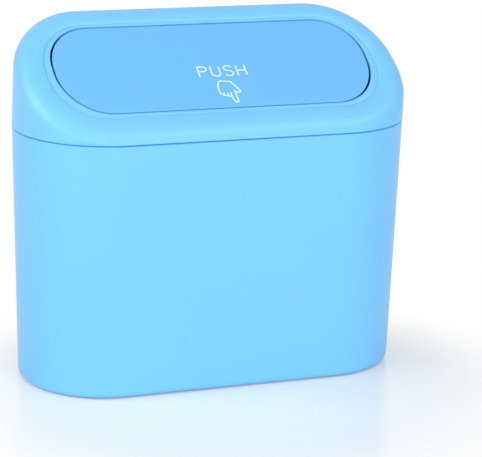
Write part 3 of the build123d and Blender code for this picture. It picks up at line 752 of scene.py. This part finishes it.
def add_rim_rib(bm):
    """The rib that follows the flap's edge, left out where the springs need room."""
    outer = slope_outline(-FLAP_RIB_INSET, -FLAP_RIB_INSET)
    inner = slope_outline(-FLAP_RIB_INSET - FLAP_RIB, -FLAP_RIB_INSET - FLAP_RIB)
    room_low = hinge_v - COIL_LEG - COIL_ROOM
    room_high = hinge_v + COIL_RADIUS + 2 * COIL_WIRE
    count = len(outer)
    start = next(i for i in range(count)
                 if outer[i][1] > room_high and outer[i - 1][1] <= room_high)
    run = []
    for offset in range(count + 1):
        i = (start + offset) % count
        x, v = outer[i]
        in_room = room_low < v < room_high and abs(x) > ear_outer
        if not in_room and offset < count:
            run.append(i)
            continue
        if len(run) > 1:
            add_wall(bm, [outer[k] for k in run], [inner[k] for k in run],
                     -FLAP_THICKNESS - FLAP_RIB_DEPTH, -FLAP_THICKNESS + SINK)
        run = []


def add_flap_fittings(bm):
    """Cross ribs, hinge ears and the seat that the striker is screwed to."""
    top = -FLAP_THICKNESS + SINK
    inner = FLAP_RIB_INSET + FLAP_RIB
    for side in (-1, 1):
        x = side * FLAP_CROSS_RIB
        add_box(bm, x - FLAP_RIB / 2, x + FLAP_RIB / 2, flap_front + inner, flap_back - inner,
                -FLAP_THICKNESS - FLAP_RIB_DEPTH, top)
        ear = sorted((side * ear_inner, side * ear_outer))
        add_tube(bm, (ear[0], hinge_v, -HINGE_DROP), (ear[1], hinge_v, -HINGE_DROP), EAR_RADIUS,
                 PIN_RADIUS + EAR_PLAY)
        add_box(bm, ear[0] + EAR_WEB_INSET, ear[1] - EAR_WEB_INSET, hinge_v - EAR_RADIUS,
                hinge_v + EAR_RADIUS, -HINGE_DROP + EAR_WEB_RISE, top)
    add_box(bm, -STRIKER_FOOT_LENGTH / 2, STRIKER_FOOT_LENGTH / 2, latch_v - STRIKER_FOOT_DEPTH / 2,
            latch_v + STRIKER_FOOT_DEPTH / 2, -FLAP_THICKNESS - STRIKER_SEAT, top)


flap = make_flap()
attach(flap, "flap")
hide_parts("flap_panel")

# %% [markdown]
# ## Mark on the flap
# A plain word and a pointing hand in thin pale strokes tell the user where to press. Both are drawn
# as centre lines here, turned into flat strips, and laid just above the flap's surface.

# %% Mark
MARK_STROKE = 0.68
MARK_LIFT = 0.03
ARC_STEPS = 14


def strip(bm, points, width, closed=False):
    """A flat stroke along a row of points on the flap."""
    line = [Vector((x, v, 0)) for x, v in points]
    lift = Vector((0, 0, MARK_LIFT))
    count = len(line)
    edges = []
    for i, here in enumerate(line):
        before = line[i - 1] if i or closed else here
        after = line[(i + 1) % count] if i < count - 1 or closed else here
        way = (after - before).normalized()
        side = Vector((-way.y, way.x, 0)) * width / 2
        edges.append((bm.verts.new(LID @ (here + side + lift)),
                      bm.verts.new(LID @ (here - side + lift))))
    if closed:
        edges.append(edges[0])
    for (a, b), (c, d) in zip(edges, edges[1:]):
        bm.faces.new((a, b, d, c))


def arc(cx, cv, rx, rv, start, end):
    """Points of part of an ellipse, from one angle to another in degrees."""
    turns = [math.radians(start + (end - start) * i / ARC_STEPS) for i in range(ARC_STEPS + 1)]
    return [(cx + rx * math.cos(a), cv + rv * math.sin(a)) for a in turns]


LETTER_HEIGHT = 6.4
LETTER_WIDTH = 4.1
LETTER_STEP = 6.2
MARK_LEFT = -9.0
MARK_BASE = -11.6
# The hand's outline and the lines between its fingers, in millimetres across and up the slope.
HAND = ((-0.9, -14.8), (4.3, -15.2), (5.6, -17.8), (6.8, -20.2), (7.4, -21.3), (7.3, -22.1),
        (6.6, -22.6), (5.8, -22.2), (4.7, -20.9), (4.8, -23.4), (4.9, -27.5), (4.5, -28.4),
        (3.9, -28.7), (3.2, -28.3), (2.9, -27.0), (2.6, -24.8), (1.0, -24.4), (-0.7, -23.9),
        (-2.0, -23.3), (-2.5, -21.8), (-2.5, -19.0), (-1.9, -16.6))
KNUCKLES = (((-0.7, -22.3), (-0.6, -23.7)), ((1.0, -22.4), (1.1, -24.2)),
            ((2.6, -22.3), (2.6, -24.6)))


def letter_rows():
    """Centre lines of the four letters, each from its lower left corner."""
    w = LETTER_WIDTH
    h = LETTER_HEIGHT
    bowl = [(0, h), (w * 0.55, h)] + arc(w * 0.55, h * 0.76, w * 0.45, h * 0.24, 90, -90)
    cup = [(0, h), (0, h * 0.32)] + arc(w / 2, h * 0.32, w / 2, h * 0.32, 180, 360) + [(w, h)]
    snake = arc(w / 2, h * 0.76, w * 0.48, h * 0.24, 30, 270)
    snake += arc(w / 2, h * 0.26, w * 0.48, h * 0.26, 90, -155)
    return (([(0, 0), (0, h)], bowl + [(0, h * 0.52)]), (cup,), (snake,),
            ([(0, 0), (0, h)], [(w, 0), (w, h)], [(0, h / 2), (w, h / 2)]))


def make_mark():
    bm = bmesh.new()
    for place, rows in enumerate(letter_rows()):
        left = MARK_LEFT + place * LETTER_STEP
        for row in rows:
            strip(bm, [(left + x, MARK_BASE + v) for x, v in row], MARK_STROKE)
    strip(bm, HAND, MARK_STROKE, closed=True)
    for row in KNUCKLES:
        strip(bm, row, MARK_STROKE)
    return finish_mesh(bm, "flap_mark", mark_ink)


mark = make_mark()
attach(mark, "flap")

# %% [markdown]
# ## Springs and screws
# Both repeat, so each is a node tree. A spring is a spiral with a straight leg at each end, swept
# with a round wire. `lay` turns its axis along X, with the coils running inwards from the lug.

# %% Springs
def spring_tree(name, sizes):
    tree = Tree(name, sizes)
    top = tree.math("MULTIPLY", tree.size("Turns"), tree.size("Pitch"))
    spiral = tree.add("GeometryNodeCurveSpiral", Resolution=48, Rotations=tree.size("Turns"),
                      Start_Radius=tree.size("Coil radius"), End_Radius=tree.size("Coil radius"),
                      Height=top)
    curves = [spiral.outputs[0]]
    side = tree.size("Coil radius")
    for label, height, way in (("Low leg", 0.0, -1.0), ("High leg", top, 1.0)):
        start = tree.add("ShaderNodeCombineXYZ", in0=side, in2=height).outputs[0]
        far = tree.math("MULTIPLY", tree.size(label), way)
        end = tree.add("ShaderNodeCombineXYZ", in0=side, in1=far, in2=height).outputs[0]
        curves.append(tree.add("GeometryNodeCurvePrimitiveLine", Start=start, End=end).outputs[0])
    wire = tree.add("GeometryNodeCurvePrimitiveCircle", Resolution=14,
                    Radius=tree.size("Wire radius"))
    swept = tree.add("GeometryNodeCurveToMesh", Curve=tree.join(*curves),
                     Profile_Curve=wire.outputs[0], Fill_Caps=True).outputs[0]
    tree.finish(swept, spring_steel)
    return tree


for side, name in ((-1, "left"), (1, "right")):
    tree = spring_tree("hinge_spring", {"Turns": float(COIL_TURNS), "Coil radius": COIL_RADIUS,
                                        "Pitch": COIL_PITCH, "Wire radius": COIL_WIRE / 2,
                                        "Low leg": COIL_LEG / 2, "High leg": COIL_LEG})
    first_coil = side * (lug_inner - COIL_WIRE / 2 - COIL_PLAY)
    stand = LID @ Matrix.Translation((first_coil, hinge_v, -HINGE_DROP))
    lay = Matrix(((0, 0, -side, 0), (0, -1, 0, 0), (1, 0, 0, 0), (0, 0, 0, 1)))
    spring = run_tree(tree, "wound_spring_" + name, stand @ lay)
    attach(spring, "lid")
    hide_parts("hinge_spring_" + name)

# %% [markdown]
# A latch screw and a striker screw differ only in size, so one tree serves both. Its cross is two
# bars taken out of the head, and the whole screw is repeated along X at the given spacing.

# %% Screws
CROSS_LENGTH = 1.44
CROSS_WIDTH = 0.225


def screw_tree(name, sizes):
    tree = Tree(name, sizes)
    head = tree.add("GeometryNodeMeshCylinder", Vertices=40, Radius=tree.size("Head radius"),
                    Depth=tree.size("Head height"))
    cuts = []
    for turn in (0.0, math.pi / 2):
        size = tree.add("ShaderNodeCombineXYZ",
                        in0=tree.math("MULTIPLY", tree.size("Head radius"), CROSS_LENGTH),
                        in1=tree.math("MULTIPLY", tree.size("Head radius"), CROSS_WIDTH),
                        in2=tree.size("Head height")).outputs[0]
        bar = tree.add("GeometryNodeMeshCube", Size=size).outputs[0]
        place = tree.add("ShaderNodeCombineXYZ",
                         in2=tree.math("MULTIPLY", tree.size("Head height"), -0.5)).outputs[0]
        cuts.append(tree.add("GeometryNodeTransform", Geometry=bar, Translation=place,
                             Rotation=(0.0, 0.0, turn)).outputs[0])
    slotted = tree.add("GeometryNodeMeshBoolean", {"operation": "DIFFERENCE"})
    tree.group.links.new(head.outputs[0], slotted.inputs[0])
    for cut in cuts:
        tree.group.links.new(cut, slotted.inputs[1])
    shank = tree.add("GeometryNodeMeshCylinder", Vertices=28, Radius=tree.size("Shank radius"),
                     Depth=tree.size("Shank length"))
    middle = tree.math("MULTIPLY", tree.math("ADD", tree.size("Shank length"),
                                             tree.size("Head height")), 0.5)
    lift = tree.add("ShaderNodeCombineXYZ", in2=middle).outputs[0]
    lifted = tree.add("GeometryNodeTransform", Geometry=shank.outputs[0],
                      Translation=lift).outputs[0]
    left = tree.math("MULTIPLY", tree.size("Spacing"), -0.5)
    first = tree.add("ShaderNodeCombineXYZ", in0=left)
    step = tree.add("ShaderNodeCombineXYZ", in0=tree.size("Spacing"))
    line = tree.add("GeometryNodeMeshLine", Count=2, Start_Location=first.outputs[0],
                    Offset=step.outputs[0]).outputs[0]
    rows = tree.add("GeometryNodeInstanceOnPoints", Points=line,
                    Instance=tree.join(slotted.outputs[0], lifted)).outputs[0]
    tree.finish(rows, pin_steel)
    return tree


SCREWS = {
    "latch_screws": ("lid", -11.5, {"Head radius": 1.9, "Head height": 1.3, "Shank radius": 1.0,
                                    "Shank length": 4.4, "Spacing": 19.0}),
    "striker_screws": ("flap", -3.8, {"Head radius": 1.5, "Head height": 0.9, "Shank radius": 0.8,
                                      "Shank length": 3.0, "Spacing": 13.2})}
for node, (body, seat, sizes) in SCREWS.items():
    tree = screw_tree(node, sizes)
    stand = LID @ Matrix.Translation((0, latch_v, seat - sizes["Head height"] / 2))
    screws = run_tree(tree, node + "_set", stand)
    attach(screws, body)
    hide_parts(node)

# %% [markdown]
# ## Pieces that keep their packed form
# The pins, the latch's housing, slider, striker, guide wire and coil, and the bumpers are already
# right as they are, so they only take a finish.

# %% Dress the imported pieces
DRESS = {"hinge_pin_left": pin_steel, "hinge_pin_right": pin_steel,
         "latch_housing": latch_plastic, "latch_slider": slider_plastic,
         "latch_striker": slider_plastic, "latch_spring": spring_steel,
         "latch_guide_wire": spring_steel, "flap_bumpers": bumper_rubber}
for name, material in DRESS.items():
    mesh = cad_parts[name].data
    mesh.materials.clear()
    mesh.materials.append(material)
print("dressed", len(DRESS))

# %% [markdown]
# ## Floor, light and camera
# A white floor and a white world give the plain background. The floor keeps the can's shadow and a
# soft reflection near it, and fades to plain white further out. Its middle lies a little to the
# front, where the reflection falls.

# %% Floor
def seen_ray(tree):
    """One for rays that come from the camera, or by way of glossy or clear surfaces."""
    path = tree.nodes.new("ShaderNodeLightPath")
    seen = path.outputs["Is Camera Ray"]
    for name in ("Is Glossy Ray", "Is Transmission Ray"):
        either = tree.nodes.new("ShaderNodeMath")
        either.operation = "MAXIMUM"
        tree.links.new(seen, either.inputs[0])
        tree.links.new(path.outputs[name], either.inputs[1])
        seen = either.outputs[0]
    return seen


FLOOR_COLOUR = (0.93, 0.93, 0.93, 1)
FLOOR_ROUGHNESS = 0.2
FLOOR_SHEEN = 1.0
FLOOR_KEEP = 0.15
FLOOR_DROP = 0.0002
FLOOR_HALF_SIZE = 3.0
FADE_FORWARD = (0.0, 0.05, 0.0)
FADE_SHAPE = (1.2, 1.3, 0.0)
FADE_START = 0.095
FADE_END = 0.19


def make_floor():
    """A white floor, faded to plain white away from the can."""
    material = bpy.data.materials.new("floor_white")
    material.use_nodes = True
    nodes = material.node_tree.nodes
    links = material.node_tree.links
    paper = nodes["Principled BSDF"]
    paper.inputs["Base Color"].default_value = FLOOR_COLOUR
    paper.inputs["Roughness"].default_value = FLOOR_ROUGHNESS
    paper.inputs["Specular IOR Level"].default_value = FLOOR_SHEEN
    white = nodes.new("ShaderNodeEmission")
    white.inputs["Strength"].default_value = 1.0
    where = nodes.new("ShaderNodeTexCoord")
    squeeze = nodes.new("ShaderNodeMapping")
    squeeze.inputs["Location"].default_value = FADE_FORWARD
    squeeze.inputs["Scale"].default_value = FADE_SHAPE
    far = nodes.new("ShaderNodeVectorMath")
    far.operation = "LENGTH"
    fade = nodes.new("ShaderNodeMapRange")
    fade.interpolation_type = "SMOOTHSTEP"
    fade.inputs["From Min"].default_value = FADE_START
    fade.inputs["From Max"].default_value = FADE_END
    fade.inputs["To Min"].default_value = FLOOR_KEEP
    fade.inputs["To Max"].default_value = 1.0
    links.new(where.outputs["Object"], squeeze.inputs["Vector"])
    links.new(squeeze.outputs["Vector"], far.inputs[0])
    links.new(far.outputs["Value"], fade.inputs["Value"])
    share = nodes.new("ShaderNodeMath")
    share.operation = "MULTIPLY"
    links.new(seen_ray(material.node_tree), share.inputs[0])
    links.new(fade.outputs["Result"], share.inputs[1])
    mix = nodes.new("ShaderNodeMixShader")
    links.new(share.outputs[0], mix.inputs["Fac"])
    links.new(paper.outputs[0], mix.inputs[1])
    links.new(white.outputs[0], mix.inputs[2])
    links.new(mix.outputs[0], nodes["Material Output"].inputs["Surface"])
    bm = bmesh.new()
    bmesh.ops.create_grid(bm, x_segments=1, y_segments=1, size=FLOOR_HALF_SIZE)
    mesh = bpy.data.meshes.new("floor")
    bm.to_mesh(mesh)
    bm.free()
    mesh.materials.append(material)
    floor = bpy.data.objects.new("floor", mesh)
    floor.location.z = -FLOOR_DROP
    bpy.context.collection.objects.link(floor)


make_floor()
print("floor fades from", FADE_START, "to", FADE_END)

# %% [markdown]
# The world lights the can evenly and shows itself as plain white. A broad lamp faces the front. Two
# smaller ones on the left brighten that end and its corner, and a narrow strip above draws the
# highlight along the front of the rim. Each row gives a name, a place, the point it looks at, its
# two sides in metres and its watts.

# %% World and lamps
WORLD_LEVEL = 0.27
LAMPS = (("front", (0.15, -1.4, 0.35), (0, 0, 0.08), (1.0, 0.8), 10.5),
         ("high left", (-0.75, 0.00, 0.72), (0, 0, 0.13), (0.5, 0.6), 4.2),
         ("left", (-0.80, -0.60, 0.35), (0, 0, 0.09), (0.22, 0.6), 1.7),
         ("strip", (0.26, -0.42, 1.00), (0, 0, 0.12), (1.2, 0.08), 3.2))


def make_world(level):
    world = bpy.data.worlds.new("studio")
    bpy.context.scene.world = world
    world.use_nodes = True
    nodes = world.node_tree.nodes
    links = world.node_tree.links
    fill = nodes["Background"]
    fill.inputs["Color"].default_value = (1, 1, 1, 1)
    fill.inputs["Strength"].default_value = level
    white = nodes.new("ShaderNodeBackground")
    white.inputs["Color"].default_value = (1, 1, 1, 1)
    white.inputs["Strength"].default_value = 1.0
    mix = nodes.new("ShaderNodeMixShader")
    links.new(seen_ray(world.node_tree), mix.inputs["Fac"])
    links.new(fill.outputs[0], mix.inputs[1])
    links.new(white.outputs[0], mix.inputs[2])
    links.new(mix.outputs[0], nodes["World Output"].inputs["Surface"])


def lamp(name, place, aim, size, watts):
    light = bpy.data.lights.new(name, "AREA")
    light.shape = "RECTANGLE"
    light.size = size[0]
    light.size_y = size[1]
    light.energy = watts
    holder = bpy.data.objects.new(name, light)
    holder.location = place
    holder.rotation_euler = (Vector(aim) - Vector(place)).to_track_quat("-Z", "Y").to_euler()
    bpy.context.collection.objects.link(holder)


make_world(WORLD_LEVEL)
for row in LAMPS:
    lamp(*row)
print("lamps", len(LAMPS))

# %% [markdown]
# The camera looks at the can's front from a little to the left and above, with a long lens and a
# slight roll.

# %% Camera
AZIMUTH = math.radians(-20.54)
ELEVATION = math.radians(15.68)
ROLL = math.radians(1.54)
AIM = Vector((16.31, 0, 64.02)) * MM
DISTANCE = 953.7 * MM
LENS = 151.4
SENSOR_WIDTH = 36.0


def make_camera():
    back = Vector((math.sin(AZIMUTH) * math.cos(ELEVATION),
                   -math.cos(AZIMUTH) * math.cos(ELEVATION), math.sin(ELEVATION)))
    right = (-back).cross(Vector((0, 0, 1))).normalized()
    up = right.cross(-back)
    rolled_right = math.cos(ROLL) * right + math.sin(ROLL) * up
    rolled_up = math.cos(ROLL) * up - math.sin(ROLL) * right
    turn = Matrix((rolled_right, rolled_up, back)).transposed().to_4x4()
    data = bpy.data.cameras.new("camera")
    data.lens = LENS
    data.sensor_width = SENSOR_WIDTH
    data.sensor_fit = "HORIZONTAL"
    camera = bpy.data.objects.new("camera", data)
    camera.matrix_world = Matrix.Translation(AIM + back * DISTANCE) @ turn
    bpy.context.collection.objects.link(camera)
    bpy.context.scene.camera = camera


make_camera()
bpy.context.scene.view_settings.view_transform = "Standard"
print("camera", round(DISTANCE / MM), "mm away")
